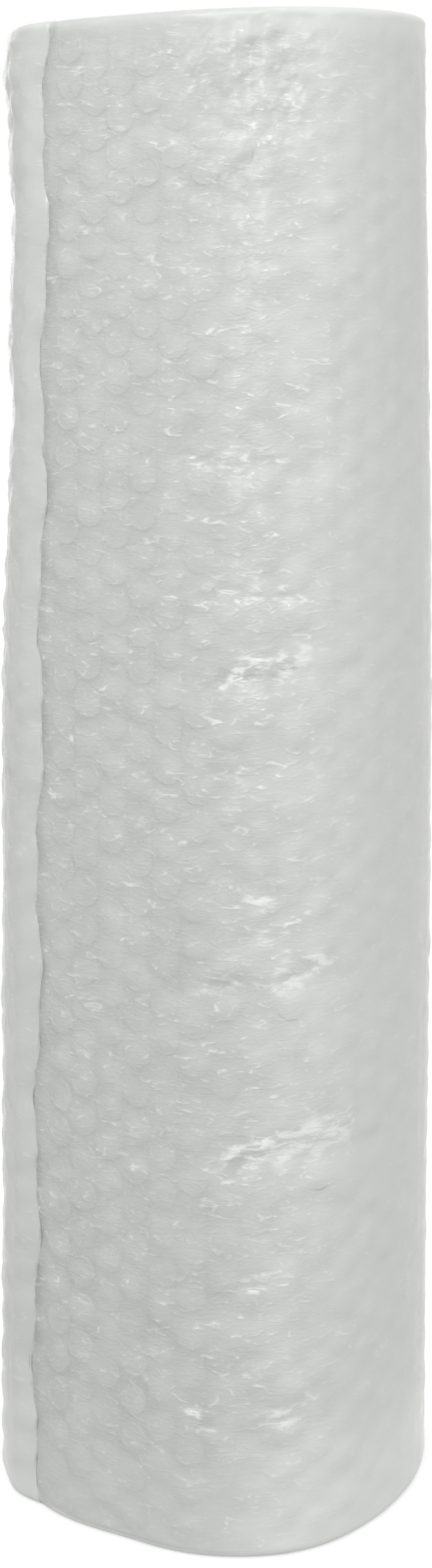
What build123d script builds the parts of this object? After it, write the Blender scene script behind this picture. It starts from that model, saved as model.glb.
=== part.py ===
from build123d import *

from itertools import pairwise
from math import cos, exp, floor, pi, radians, sin, tan
import os

# A roll of bubble cushioning film standing on its end, in millimetres.
#
# One sheet, five metres long and half a metre wide, is wound on a mandrel that is then drawn out.
# The sheet's flat film faces out. Its turns, its inner end at the eye and its free edge at the front
# left are one solid. The roll is soft: it has a flat spot, a crown beside it, rings of creases where
# the film buckles, and gathers down the left side near the top.

# The sheet and how tightly it is wound
SHEET_WIDTH = 500.0
SHEET_LENGTH = 5000.0
ROLL_RADIUS = 75.0
EYE_RADIUS = 28.0
AIR_GAP = 0.45

# The inner end: the part of a turn in which the second turn climbs over it, longer turn by turn
FIRST_CLIMB = 0.2
CLIMB_GROWTH = 0.1

# The free edge, as plan angles counterclockwise from +X
FREE_EDGE_ANGLE = 218.0
FREE_EDGE_DRIFT = -5.0
LIP_LIFT = 0.8
LIP_ANGLE = 12.0
CLING_ANGLE = 84.0

# Hollows and swells of the section: plan angle, outward height and angular spread
FLAT_SPOT = (-117.0, -3.5, 26.0)
CROWN = (-67.0, 3.2, 36.0)
LEFT_SHOULDER = (-155.0, 1.4, 20.0)
SECTION_SHAPE = (FLAT_SPOT, CROWN, LEFT_SHOULDER)

# The bevelled rims and the slant of the top end, which is highest on the right
BASE_RIM = 2.2
TOP_RIM = 2.0
TOP_SLANT = 1.9
SLANT_DEPTH = 70.0

# Rings of creases: height of the furrow, its depth, how far it fades up and down, plan angle, spread.
# Heights and reaches are shares of the sheet's width, and depths are shares of its thickness.
CREASE_SHARES = (
    (0.254, 0.77, 0.010, 0.014, -66.0, 38.0),
    (0.366, 0.66, 0.010, 0.012, -76.0, 38.0),
    (0.564, 0.66, 0.010, 0.014, -74.0, 36.0),
    (0.696, 0.54, 0.038, 0.012, -78.0, 38.0),
)
# The same rings buckle again round the back, each this much further round than the one below
BACK_STEP = 77.0
BACK_SHARE = 0.8

# Gathers at the top left, from the base up: height, how far the side is pulled in, and the front.
# These are shares of the sheet's width and thickness too.
GATHER_SHARES = (
    (0.574, 0.15, 0.0),
    (0.696, 1.12, 0.0),
    (0.734, 1.70, 0.0),
    (0.772, 0.85, -0.08),
    (0.816, 1.31, 0.15),
    (0.870, 1.85, 0.35),
    (0.896, 0.69, -0.12),
    (0.924, 1.23, 0.39),
    (0.966, 0.0, -0.15),
    (1.0, 0.93, 0.0),
)
SIDE_PULL = (180.0, 42.0)
FRONT_PULL = (-94.0, 38.0)
# The slow swell of the right side: height as a share of the width, how far it stands out, its reach as a
# share of the width, plan angle and spread
BELLY = (0.55, 2.8, 0.6, 0.0, 70.0)

# Points in one turn of every curve
STEPS = 45

TURN_PITCH = pi * (ROLL_RADIUS**2 - EYE_RADIUS**2) / SHEET_LENGTH
SHEET_THICKNESS = TURN_PITCH - AIR_GAP
TURNS = (ROLL_RADIUS - EYE_RADIUS - SHEET_THICKNESS) / TURN_PITCH
INNER_END_ANGLE = FREE_EDGE_ANGLE - 360.0 * TURNS
WHOLE_TURN = 360.0
EPSILON = 1e-9
SHARE_DIGITS = 6


def bell(distance, spread):
    """A smooth hump: one at its middle, and nearly nothing past its spread."""
    return exp(-((distance / (0.6 * spread)) ** 2))


def angle_between(a, b):
    """The shorter way from angle b to angle a, in degrees."""
    return (a - b + 180.0) % WHOLE_TURN - 180.0


def climb(turns):
    """Pitches that the sheet has climbed after this many turns from its inner end."""
    whole = floor(turns + EPSILON)
    part = turns - whole
    width = min(1.0, FIRST_CLIMB + CLIMB_GROWTH * whole)
    return whole + max(0.0, 1.0 - (1.0 - part) / width)


def section_swell(angle, radius):
    """How far the section stands out of round at this angle, which grows outward from the eye."""
    share = max(0.0, (radius - EYE_RADIUS) / (ROLL_RADIUS - EYE_RADIUS))
    return share * sum(rise * bell(angle_between(angle, at), spread) for at, rise, spread in SECTION_SHAPE)


def outer_face(turns):
    """Plan angle and radius of the sheet's outer face after this many turns."""
    angle = INNER_END_ANGLE + WHOLE_TURN * turns
    radius = EYE_RADIUS + SHEET_THICKNESS + TURN_PITCH * climb(turns)
    return angle, radius + section_swell(angle, radius - SHEET_THICKNESS)


def plan_point(angle, radius, height=0.0):
    """The point at this plan angle, radius and height."""
    return Vector(radius * cos(radians(angle)), radius * sin(radians(angle)), height)


def even_spline(points):
    """A curve through the points, at even steps of its parameter, so that lofts between two run straight."""
    return Edge.make_spline(points, parameters=[i / (len(points) - 1) for i in range(len(points))])


def crease_depth(angle, share):
    """How far the rings of creases pull the outside in: each has a front buckle and a back one."""
    depth = 0.0
    for index, (at_share, deep, above, below, at, spread) in enumerate(CREASE_SHARES):
        reach = above if share > at_share else below
        behind = at + 180.0 + BACK_STEP * (index % 3 - 1)
        round_it = bell(angle_between(angle, at), spread)
        round_it += BACK_SHARE * bell(angle_between(angle, behind), spread)
        depth += deep * round_it * max(0.0, 1.0 - abs(share - at_share) / reach)
    return depth * SHEET_THICKNESS


def gather_depth(angle, share):
    """How far the gathers pull the outside in, at the left side and at the front."""
    for (low, *low_pulls), (high, *high_pulls) in pairwise(GATHER_SHARES):
        if low <= share <= high:
            part = (share - low) / (high - low)
            side, front = (a + (b - a) * part for a, b in zip(low_pulls, high_pulls))
            side_share, front_share = (
                bell(angle_between(angle, at), spread) for at, spread in (SIDE_PULL, FRONT_PULL)
            )
            return SHEET_THICKNESS * (side * side_share + front * front_share)
    return 0.0


def surface_rise(angle, share):
    """How far the outside stands out from the wound section at this angle and share of the height."""
    at_share, swell, tall, at, spread = BELLY
    belly = swell * bell(share - at_share, tall) * bell(angle_between(angle, at), spread)
    return belly - crease_depth(angle, share) - gather_depth(angle, share)


def levels():
    """The heights at which the outside is drawn, as shares of the width, each with the bevel there."""
    rims = (0.0, BASE_RIM), (BASE_RIM, 0.0), (SHEET_WIDTH - TOP_RIM, 0.0), (SHEET_WIDTH, TOP_RIM)
    made = {height / SHEET_WIDTH: bevel for height, bevel in rims}
    between = [share for share, *_ in GATHER_SHARES[1:-1]]
    for share, _, above, below, _, _ in CREASE_SHARES:
        between += [share - below, share, share + above]
    made.update({round(share, SHARE_DIGITS): 0.0 for share in between})
    return sorted(made.items())


def at_height(points, height):
    """The points of a plan, put at this height, with the slant of the top end."""
    slant = tan(radians(TOP_SLANT)) * max(0.0, 1.0 - (SHEET_WIDTH - height) / SLANT_DEPTH)
    return [Vector(p.X, p.Y, height - slant * (ROLL_RADIUS - p.X)) for p in points]


def outside_section(share, bevel):
    """The closed outline of the outermost turn at one height, stepped at the free edge."""
    end = TURNS + FREE_EDGE_DRIFT / WHOLE_TURN * (1.0 - share)
    points = []
    for i in range(STEPS + 1):
        angle, radius = outer_face(end - 1.0 + i / STEPS)
        lift = LIP_LIFT * max(0.0, 1.0 - WHOLE_TURN * (1.0 - i / STEPS) / LIP_ANGLE)
        points.append(plan_point(angle, radius + surface_rise(angle, share) + lift - bevel))
    points = at_height(points, share * SHEET_WIDTH)
    return Wire([even_spline(points), Edge.make_line(points[-1], points[0])])


def sheet_face(start, end, inward, height):
    """The sheet's outer face, or its inner one, from one count of turns to another, a turn to an edge."""
    edges = []
    while start < end - EPSILON:
        stop = min(end, start + 1.0)
        count = max(2, round((stop - start) * STEPS))
        places = [outer_face(start + (stop - start) * i / count) for i in range(count + 1)]
        points = [plan_point(angle, radius - inward) for angle, radius in places]
        edges.append(even_spline(at_height(points, height)))
        start = stop
    return edges


def eye_wall():
    """The round wall of the eye, from the sheet's inner end to where the next turn climbs over it."""
    lean = tan(radians(TOP_SLANT))
    top = Plane(origin=(ROLL_RADIUS, 0.0, SHEET_WIDTH), x_dir=(1.0, 0.0, lean), z_dir=(-lean, 0.0, 1.0))
    turned = Plane(origin=(0.0, 0.0, 0.0), x_dir=plan_point(INNER_END_ANGLE, 1.0))
    post = Solid.make_cylinder(EYE_RADIUS, SHEET_WIDTH, turned, WHOLE_TURN * (1.0 - FIRST_CLIMB))
    return post.split(top, keep=Keep.BOTTOM).faces().filter_by(GeomType.CYLINDER)[0]


def air_outline(eye_edge, height):
    """The outline of the air at one end: the eye's wall, the gap that winds out of it, and its two ends."""
    climbing = 1.0 - FIRST_CLIMB
    clinging = TURNS - CLING_ANGLE / WHOLE_TURN
    over = sheet_face(climbing, clinging, SHEET_THICKNESS, height)
    under = sheet_face(0.0, climbing, 0.0, height) + sheet_face(climbing, clinging - 1.0, 0.0, height)
    inner_corner = at_height([plan_point(INNER_END_ANGLE, EYE_RADIUS)], height)[0]
    closing = Edge.make_line(inner_corner, under[0] @ 0), Edge.make_line(over[-1] @ 1, under[-1] @ 1)
    return [eye_edge, *over, *under, *closing]


def outside():
    """The lower and upper end faces of the roll's outside, and its sides."""
    faces = Solid.make_loft([outside_section(*level) for level in levels()], ruled=True).faces()
    flat = faces.filter_by(GeomType.PLANE).sort_by(Axis.Z)
    ends = [flat[0], flat[-1]]
    return ends, [face for face in faces if face not in ends]


def wound_sheet():
    """The roll: its outside and the air in it, joined by end faces with the air's outline cut out."""
    outer_ends, sides = outside()
    wall = eye_wall()
    base_edge = wall.edges().filter_by(GeomType.CIRCLE)[0]
    top_edge = wall.edges().filter_by(GeomType.ELLIPSE)[0]
    low, high = air_outline(base_edge, 0.0), air_outline(top_edge, SHEET_WIDTH)
    sides += [wall, *(Face.make_surface_from_curves(a, b) for a, b in zip(low[1:], high[1:]))]
    ends = [Face(outer.outer_wire(), [Wire(air)]) for outer, air in zip(outer_ends, (low, high))]
    return Solid(Shell([*sides, *ends]))


def main():
    """Builds the roll and writes it."""
    os.makedirs("parts", exist_ok=True)
    export_step(wound_sheet(), "parts/wound_sheet.step")
    print("pitch", round(TURN_PITCH, 3), "turns", round(TURNS, 2), "levels", len(levels()))


main()
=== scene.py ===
"""A roll of bubble cushioning film, dressed for its photograph.

The outermost turn is a clear, slightly milky film over round air bubbles. Under it lie the wound
turns, and at both ends the edges of every turn show, each a flat film and a scalloped one.
Lengths are in metres. Angles are plan angles in degrees, counterclockwise from +X.
"""

import logging
import math
from dataclasses import dataclass, field
from enum import Enum

import bpy
import numpy as np
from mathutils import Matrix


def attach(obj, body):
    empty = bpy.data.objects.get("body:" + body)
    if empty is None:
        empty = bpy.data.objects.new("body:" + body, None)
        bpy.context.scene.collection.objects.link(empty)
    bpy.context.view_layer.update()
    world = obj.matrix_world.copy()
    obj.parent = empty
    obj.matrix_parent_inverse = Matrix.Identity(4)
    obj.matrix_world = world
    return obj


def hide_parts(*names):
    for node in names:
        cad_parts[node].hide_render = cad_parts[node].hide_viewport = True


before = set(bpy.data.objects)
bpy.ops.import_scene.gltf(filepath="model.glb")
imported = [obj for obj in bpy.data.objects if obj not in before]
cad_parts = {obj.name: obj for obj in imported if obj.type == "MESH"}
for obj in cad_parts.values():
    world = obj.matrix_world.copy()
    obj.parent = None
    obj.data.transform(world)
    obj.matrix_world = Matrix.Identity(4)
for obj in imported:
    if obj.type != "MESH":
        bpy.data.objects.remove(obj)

NODE = "wound_sheet"
BODY = "root"
SHEET_MAP = "sheet"
GLARE_VALUE = "glare"
OUTWARD_VALUE = "outward"
WHOLE_TURN = 360.0
HALF_TURN = 180.0
BELL_WIDTH = 0.6
NOISE_BODY = (0.3, 0.7)
ROUNDING = 1e-9
TINY = 1e-6

Pair = tuple[float, float]
Triple = tuple[float, float, float]
Socket = bpy.types.NodeSocket

log = logging.getLogger("bubble_film_roll")


class End(Enum):
    """The two ends of the roll."""

    BASE = 0
    TOP = 1


# Geometry helpers


def bell(distance: np.ndarray, spread: float) -> np.ndarray:
    """A smooth hump: one at its middle, and nearly nothing past its spread."""
    return np.exp(-((distance / (BELL_WIDTH * spread)) ** 2))


def angle_between(a: np.ndarray, b: float) -> np.ndarray:
    """The shorter way from angle b to angle a."""
    return (a - b + HALF_TURN) % WHOLE_TURN - HALF_TURN


def band_noise(
    rng: np.random.Generator, shape: tuple[int, int], spacing: Pair, wave: Triple
) -> np.ndarray:
    """A smooth random field over the film.

    Args:
        rng: the seeded generator.
        shape: points round the roll and up it.
        spacing: the distance between points, round and up.
        wave: the usual length of a feature, round and up, and how far the lengths vary.

    Returns:
        The field, with a mean of 0 and a standard deviation of 1.
    """
    white = rng.standard_normal(shape)
    across = np.fft.fftfreq(shape[0], spacing[0])[:, None] * wave[0]
    up = np.fft.fftfreq(shape[1], spacing[1])[None, :] * wave[1]
    count = np.maximum(np.hypot(across, up), TINY)
    gain = np.exp(-((np.log(count) / wave[2]) ** 2))
    made = np.fft.ifft2(np.fft.fft2(white) * gain).real
    return (made - made.mean()) / made.std()


def zipper(
    low: np.ndarray, high: np.ndarray, low_z: np.ndarray, high_z: np.ndarray
) -> list[tuple[int, int, int]]:
    """Triangles between two rows of points that both run upward.

    Args:
        low: indices of the first row.
        high: indices of the second row.
        low_z: heights of the first row.
        high_z: heights of the second row.

    Returns:
        The triangles' corner indices.
    """
    made, i, j = [], 0, 0
    while i < len(low) - 1 or j < len(high) - 1:
        if j == len(high) - 1 or (i < len(low) - 1 and low_z[i + 1] <= high_z[j + 1]):
            made.append((low[i], low[i + 1], high[j]))
            i += 1
        else:
            made.append((low[i], high[j + 1], high[j]))
            j += 1
    return made


def signed_volume(points: np.ndarray, quads: np.ndarray, tris: np.ndarray) -> float:
    """The volume inside a closed shell, negative where its faces point inward.

    Args:
        points: the corners.
        quads: corner indices of the four-sided faces.
        tris: corner indices of the triangles.

    Returns:
        The volume, the sum of the pyramids from the origin to each face.
    """
    corners = np.vstack([quads[:, :3], quads[:, [0, 2, 3]], tris])
    a, b, c = (points[corners[:, i]] for i in range(3))
    return float(np.einsum("ij,ij->i", a, np.cross(b, c)).sum() / 6.0)


def put_in_scene(name: str, data: bpy.types.ID) -> bpy.types.Object:
    """A linked object that holds this data.

    Args:
        name: the object's name.
        data: its mesh, lamp or camera.

    Returns:
        The object, at the origin.
    """
    made = bpy.data.objects.new(name, data)
    bpy.context.scene.collection.objects.link(made)
    return made


def set_each(mesh: bpy.types.Mesh, name: str, kind: str, values: np.ndarray) -> None:
    """Gives each point of a mesh a named value.

    Args:
        mesh: the mesh.
        name: the value's name.
        kind: FLOAT for numbers, or FLOAT_VECTOR.
        values: the numbers or vectors, point by point.
    """
    made = mesh.attributes.new(name, kind, "POINT")
    slot = "value" if kind == "FLOAT" else "vector"
    made.data.foreach_set(slot, values.astype(np.float32).ravel())


def make_object(
    name: str,
    points: np.ndarray,
    quads: np.ndarray,
    tris: np.ndarray,
    slots: np.ndarray,
    sheet: np.ndarray | None = None,
) -> bpy.types.Object:
    """A mesh object with smooth faces that point outward.

    Args:
        name: the piece's name.
        points: the corners.
        quads: corner indices of the four-sided faces.
        tris: corner indices of the triangles.
        slots: the material slot of each face, quads first.
        sheet: each corner's place on the flat sheet, along it and up it.

    Returns:
        The linked object.
    """
    if signed_volume(points, quads, tris) < 0.0:
        quads, tris = quads[:, ::-1], tris[:, ::-1]
    mesh = bpy.data.meshes.new(name)
    loops = np.concatenate([quads.ravel(), tris.ravel()]).astype(np.int32)
    starts = np.concatenate([np.arange(len(quads)) * 4, len(quads) * 4 + np.arange(len(tris)) * 3])
    mesh.vertices.add(len(points))
    mesh.vertices.foreach_set("co", points.astype(np.float32).ravel())
    mesh.loops.add(len(loops))
    mesh.loops.foreach_set("vertex_index", loops)
    mesh.polygons.add(len(starts))
    mesh.polygons.foreach_set("loop_start", starts.astype(np.int32))
    mesh.polygons.foreach_set("material_index", slots.astype(np.int32))
    mesh.update(calc_edges=True)
    if sheet is not None:
        layer = mesh.uv_layers.new(name=SHEET_MAP)
        layer.data.foreach_set("uv", sheet[loops].astype(np.float32).ravel())
    mesh.validate()
    mesh.shade_smooth()
    return put_in_scene(name, mesh)


def swept_shell(
    name: str,
    grid: np.ndarray,
    outer_rows: int,
    sheet: np.ndarray | None = None,
    inner_slot: int = 0,
) -> bpy.types.Object:
    """A closed wall swept along the sheet.

    Args:
        name: the piece's name.
        grid: its corners, as columns along the sheet by rows round its section by 3. The section's
            first rows run up the outer face, and the others run down inside it.
        outer_rows: how many rows are on the outer face.
        sheet: the corners' places on the flat sheet, as columns by rows by 2.
        inner_slot: the material slot of the faces that aren't on the outer face.

    Returns:
        The linked object.
    """
    columns, rows = grid.shape[:2]
    index = np.arange(columns * rows).reshape(columns, rows)
    around = np.roll(index, -1, axis=1)
    quads = np.stack([index[:-1], index[1:], around[1:], around[:-1]], axis=-1)
    slots = np.full((columns - 1, rows), inner_slot)
    slots[:, : outer_rows - 1] = 0
    caps: list[tuple[int, int, int]] = []
    for column, turn in ((0, 1), (columns - 1, -1)):
        sides = [
            side
            for whole in (index, grid[..., 2])
            for side in (whole[column, :outer_rows], whole[column, outer_rows:][::-1])
        ]
        caps += [corners[::turn] for corners in zipper(*sides)]
    tris = np.array(caps)
    return make_object(
        name,
        grid.reshape(-1, 3),
        quads.reshape(-1, 4),
        tris,
        np.concatenate([slots.ravel(), np.full(len(tris), inner_slot)]),
        None if sheet is None else sheet.reshape(-1, 2),
    )


def dress(piece: bpy.types.Object, *materials: bpy.types.Material) -> None:
    """Gives a piece its materials and its body, and hides the part node that it stands for.

    Args:
        piece: the finished piece.
        materials: its materials, slot by slot.
    """
    piece.data.materials.clear()
    for material in materials:
        piece.data.materials.append(material)
    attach(piece, BODY)
    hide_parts(NODE)
    log.info("%s: %d faces", piece.name, len(piece.data.polygons))


# The roll's form


@dataclass(frozen=True)
class RollForm:
    """The wound sheet's sizes and shape, as the part has them.

    Its longer attributes hold these, in this order:
        section: the plan angle, outward height and spread of each hollow or swell.
        creases: each ring's share of the height, its depth in thicknesses, its reach above and
            below as shares of the height, its plan angle and its spread.
        gathers: each share of the height, and by how many thicknesses the left side and the front
            are pulled in there.
        side_pull, front_pull: the plan angle and the spread.
        belly: its share of the height, how far it stands out, its reach up and down as a share of
            the height, its plan angle and its spread.
    """

    width: float = 0.5
    length: float = 5.0
    radius: float = 0.075
    eye_radius: float = 0.028
    air_gap: float = 0.00045
    first_climb: float = 0.2
    climb_growth: float = 0.1
    free_edge_angle: float = 218.0
    free_edge_drift: float = -5.0
    lip_lift: float = 0.0008
    lip_angle: float = 12.0
    section: tuple = ((-117.0, -0.0035, 26.0), (-67.0, 0.0032, 36.0), (-155.0, 0.0014, 20.0))
    top_slant: float = 1.9
    slant_depth: float = 0.07
    creases: tuple = (
        (0.254, 0.77, 0.010, 0.014, -66.0, 38.0),
        (0.366, 0.66, 0.010, 0.012, -76.0, 38.0),
        (0.564, 0.66, 0.010, 0.014, -74.0, 36.0),
        (0.696, 0.54, 0.038, 0.012, -78.0, 38.0),
    )
    back_step: float = 77.0
    back_share: float = 0.8
    gathers: tuple = (
        (0.574, 0.15, 0.0),
        (0.696, 1.12, 0.0),
        (0.734, 1.70, 0.0),
        (0.772, 0.85, -0.08),
        (0.816, 1.31, 0.15),
        (0.870, 1.85, 0.35),
        (0.896, 0.69, -0.12),
        (0.924, 1.23, 0.39),
        (0.966, 0.0, -0.15),
        (1.0, 0.93, 0.0),
    )
    side_pull: Pair = (180.0, 42.0)
    front_pull: Pair = (-94.0, 38.0)
    belly: tuple = (0.55, 0.0028, 0.6, 0.0, 70.0)

    @property
    def girth(self) -> float:
        """The way round the outside of a round roll of this radius."""
        return 2.0 * math.pi * self.radius

    @property
    def pitch(self) -> float:
        """The way outward from one turn to the next."""
        return math.pi * (self.radius**2 - self.eye_radius**2) / self.length

    @property
    def thickness(self) -> float:
        """The sheet's thickness, bubbles included."""
        return self.pitch - self.air_gap

    @property
    def turns(self) -> float:
        """How many turns the sheet makes."""
        return (self.radius - self.eye_radius - self.thickness) / self.pitch

    @property
    def inner_angle(self) -> float:
        """The plan angle of the sheet's inner end."""
        return self.free_edge_angle - WHOLE_TURN * self.turns

    def climb(self, turns: np.ndarray) -> np.ndarray:
        """How far the sheet has climbed outward.

        Args:
            turns: turns from its inner end.

        Returns:
            The climb, in pitches.
        """
        whole = np.floor(turns + ROUNDING)
        reach = np.minimum(1.0, self.first_climb + self.climb_growth * whole)
        return whole + np.maximum(0.0, 1.0 - (1.0 - (turns - whole)) / np.maximum(reach, TINY))

    def swell(self, angle: np.ndarray, radius: np.ndarray) -> np.ndarray:
        """How far the section stands out of round, which grows outward from the eye."""
        share = np.maximum(0.0, (radius - self.eye_radius) / (self.radius - self.eye_radius))
        return share * sum(
            rise * bell(angle_between(angle, at), reach) for at, rise, reach in self.section
        )

    def outer_face(self, turns: np.ndarray) -> tuple[np.ndarray, np.ndarray]:
        """Where the sheet's outer face is in plan.

        Args:
            turns: turns from the sheet's inner end.

        Returns:
            The plan angles and the radii.
        """
        angle = self.inner_angle + WHOLE_TURN * turns
        radius = self.eye_radius + self.thickness + self.pitch * self.climb(turns)
        return angle, radius + self.swell(angle, radius - self.thickness)

    def crease_depth(self, angle: np.ndarray, share: np.ndarray) -> np.ndarray:
        """How far the rings of creases pull the outside in, at the front and again at the back.

        Args:
            angle: plan angles.
            share: heights as shares of the sheet's width.

        Returns:
            The depths.
        """
        depth = np.zeros(np.broadcast(angle, share).shape)
        for index, (at_share, deep, above, below, at, reach) in enumerate(self.creases):
            run = np.where(share > at_share, above, below)
            behind = at + HALF_TURN + self.back_step * (index % 3 - 1)
            round_it = bell(angle_between(angle, at), reach)
            round_it = round_it + self.back_share * bell(angle_between(angle, behind), reach)
            depth = depth + deep * round_it * np.maximum(0.0, 1.0 - np.abs(share - at_share) / run)
        return depth * self.thickness

    def gather_depth(self, angle: np.ndarray, share: np.ndarray) -> np.ndarray:
        """How far the gathers pull the outside in, at the left side and at the front.

        Args:
            angle: plan angles.
            share: heights as shares of the sheet's width.

        Returns:
            The depths.
        """
        shares, *pulls = (np.array(column) for column in zip(*self.gathers))
        made = sum(
            np.interp(share, shares, pull, left=0.0) * bell(angle_between(angle, at), reach)
            for pull, (at, reach) in zip(pulls, (self.side_pull, self.front_pull))
        )
        return made * self.thickness

    def rise(self, angle: np.ndarray, share: np.ndarray) -> np.ndarray:
        """How far the outside stands out from the wound section.

        Args:
            angle: plan angles.
            share: heights as shares of the sheet's width.

        Returns:
            The heights, negative where the outside is pulled in.
        """
        at_share, out, tall, at, reach = self.belly
        belly = out * bell(share - at_share, tall) * bell(angle_between(angle, at), reach)
        return belly - self.crease_depth(angle, share) - self.gather_depth(angle, share)

    def place(self, angle: np.ndarray, radius: np.ndarray, height: np.ndarray) -> np.ndarray:
        """Points at these angles, radii and heights, with the slant of the top end.

        Args:
            angle: plan angles.
            radius: distances from the axis.
            height: heights along the sheet's own width.

        Returns:
            The points, with 3 as the last axis.
        """
        x, y = radius * np.cos(np.radians(angle)), radius * np.sin(np.radians(angle))
        fade = np.maximum(0.0, 1.0 - (self.width - height) / self.slant_depth)
        slant = math.tan(math.radians(self.top_slant)) * fade
        z = height - slant * (self.radius - x)
        return np.stack(np.broadcast_arrays(x, y, z), axis=-1)

    def outside(self, part: np.ndarray, share: np.ndarray) -> tuple[np.ndarray, np.ndarray]:
        """Angle and radius of the outermost turn, lip and creases included.

        Args:
            part: how far along the turn, from 0 under the free edge to 1 at it.
            share: heights as shares of the sheet's width.

        Returns:
            The plan angles and the radii.
        """
        end = self.turns + self.free_edge_drift / WHOLE_TURN * (1.0 - share)
        angle, radius = self.outer_face(end - 1.0 + part)
        lift = self.lip_lift * np.maximum(0.0, 1.0 - WHOLE_TURN * (1.0 - part) / self.lip_angle)
        return angle, radius + self.rise(angle, share) + lift


@dataclass(frozen=True)
class Lattice:
    """Where the air bubbles lie on the sheet: close-packed rows."""

    along: float = 0.0108
    up: float = 0.0125
    radius: float = 0.0052
    selvage: float = 0.0085

    def centres(self, length: float, width: float, margin: float = 0.0) -> np.ndarray:
        """The bubbles' centres on a stretch of the flat sheet.

        Args:
            length: how long the stretch is.
            width: the sheet's width.
            margin: the plain strip left at its far end.

        Returns:
            Rows of (along, up).
        """
        made = []
        first = math.ceil(self.radius / self.along)
        last = math.floor((length - margin - self.radius) / self.along)
        for column in range(first, last + 1):
            offset = self.up * (0.5 if column % 2 else 0.0)
            count = int((width - 2 * self.selvage - offset) / self.up) + 1
            heights = self.selvage + offset + self.up * np.arange(count)
            heights = heights[heights < width - self.selvage + TINY]
            made.append(np.stack([np.full(len(heights), column * self.along), heights], axis=1))
        return np.vstack(made)


# Finishes


class Nodes:
    """A node tree, with short ways to add to it."""

    def __init__(self, tree: bpy.types.NodeTree) -> None:
        """Takes a tree over and empties it."""
        self.tree = tree
        tree.nodes.clear()

    def put(self, value: object, socket: Socket) -> None:
        """Links a socket to an input, or sets the input to a value.

        Args:
            value: the socket or the value.
            socket: the input.
        """
        if isinstance(value, Socket):
            self.tree.links.new(value, socket)
        else:
            socket.default_value = value

    def add(self, kind: str, **values: object) -> bpy.types.Node:
        """Adds a node.

        Args:
            kind: the node's type.
            values: its settings, which start with a small letter, and its inputs by their names,
                which start with a capital and have underscores for spaces.

        Returns:
            The node.
        """
        node = self.tree.nodes.new(kind)
        for name, value in values.items():
            if name[0].islower():
                setattr(node, name, value)
            else:
                self.put(value, node.inputs[name.replace("_", " ")])
        return node

    def math(self, what: str, *values: object) -> Socket:
        """One sum.

        Args:
            what: which sum it is.
            values: numbers or sockets.

        Returns:
            The result.
        """
        node = self.add("ShaderNodeMath", operation=what)
        for socket, value in zip(node.inputs, values):
            self.put(value, socket)
        return node.outputs[0]

    def blend(self, share: object, first: Socket, second: Socket) -> Socket:
        """A shader between two.

        Args:
            share: the second one's share.
            first: the first shader.
            second: the second shader.

        Returns:
            The blended shader.
        """
        node = self.add("ShaderNodeMixShader", Fac=share)
        self.put(first, node.inputs[1])
        self.put(second, node.inputs[2])
        return node.outputs[0]


class FinishNodes(Nodes):
    """A material's node tree."""

    def __init__(self, name: str) -> None:
        """Starts a material with an empty tree.

        Args:
            name: the material's name.
        """
        self.material = bpy.data.materials.new(name)
        self.material.use_nodes = True
        super().__init__(self.material.node_tree)

    def mix(self, share: Socket, low: Socket | Triple, high: Socket | Triple) -> Socket:
        """A colour between two.

        Args:
            share: the second one's share.
            low: the first colour.
            high: the second colour.

        Returns:
            The mixed colour.
        """
        node = self.add("ShaderNodeMix", data_type="RGBA")
        for index, value in ((0, share), (6, low), (7, high)):
            self.put((*value, 1.0) if isinstance(value, tuple) else value, node.inputs[index])
        return node.outputs[2]

    def span(self, value: Socket, source: Pair, target: Pair = (0.0, 1.0)) -> Socket:
        """A number moved smoothly from one range to another.

        Args:
            value: the number.
            source: the range that it is taken from.
            target: the range that it is moved to.

        Returns:
            The result.
        """
        node = self.add("ShaderNodeMapRange", interpolation_type="SMOOTHSTEP", Value=value)
        for name, number in zip(("From Min", "From Max", "To Min", "To Max"), (*source, *target)):
            node.inputs[name].default_value = number
        return node.outputs["Result"]

    def noise(
        self, place: Socket, scale: float = 1.0, detail: float = 2.0, bend: float = 0.0
    ) -> Socket:
        """Smooth noise from 0 to 1.

        Args:
            place: the coordinates.
            scale: features to a metre.
            detail: how many finer layers it has.
            bend: how far its features are bent.

        Returns:
            The noise.
        """
        values = {"Scale": scale, "Detail": detail, "Distortion": bend}
        return self.add("ShaderNodeTexNoise", Vector=place, **values).outputs["Fac"]

    def scaled(self, place: Socket, scale: Triple, turn: float = 0.0) -> Socket:
        """Coordinates stretched, and turned in their plane."""
        turned = (0.0, 0.0, math.radians(turn))
        return self.add("ShaderNodeMapping", Vector=place, Scale=scale, Rotation=turned).outputs[0]

    def finish(self, surface: Socket) -> bpy.types.Material:
        """Links the surface to the output and returns the material."""
        self.add("ShaderNodeOutputMaterial", Surface=surface)
        return self.material

    def bumped(
        self, height: Socket, strength: object, depth: float, **values: object
    ) -> bpy.types.Material:
        """Ends the tree with a plastic surface that has a relief.

        Args:
            height: the relief.
            strength: how strong it is.
            depth: how deep it is.
            values: the surface's other inputs.

        Returns:
            The material.
        """
        bump = self.add("ShaderNodeBump", Strength=strength, Distance=depth, Height=height)
        shader = self.add("ShaderNodeBsdfPrincipled", Normal=bump.outputs["Normal"], **values)
        return self.finish(shader.outputs["BSDF"])


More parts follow.
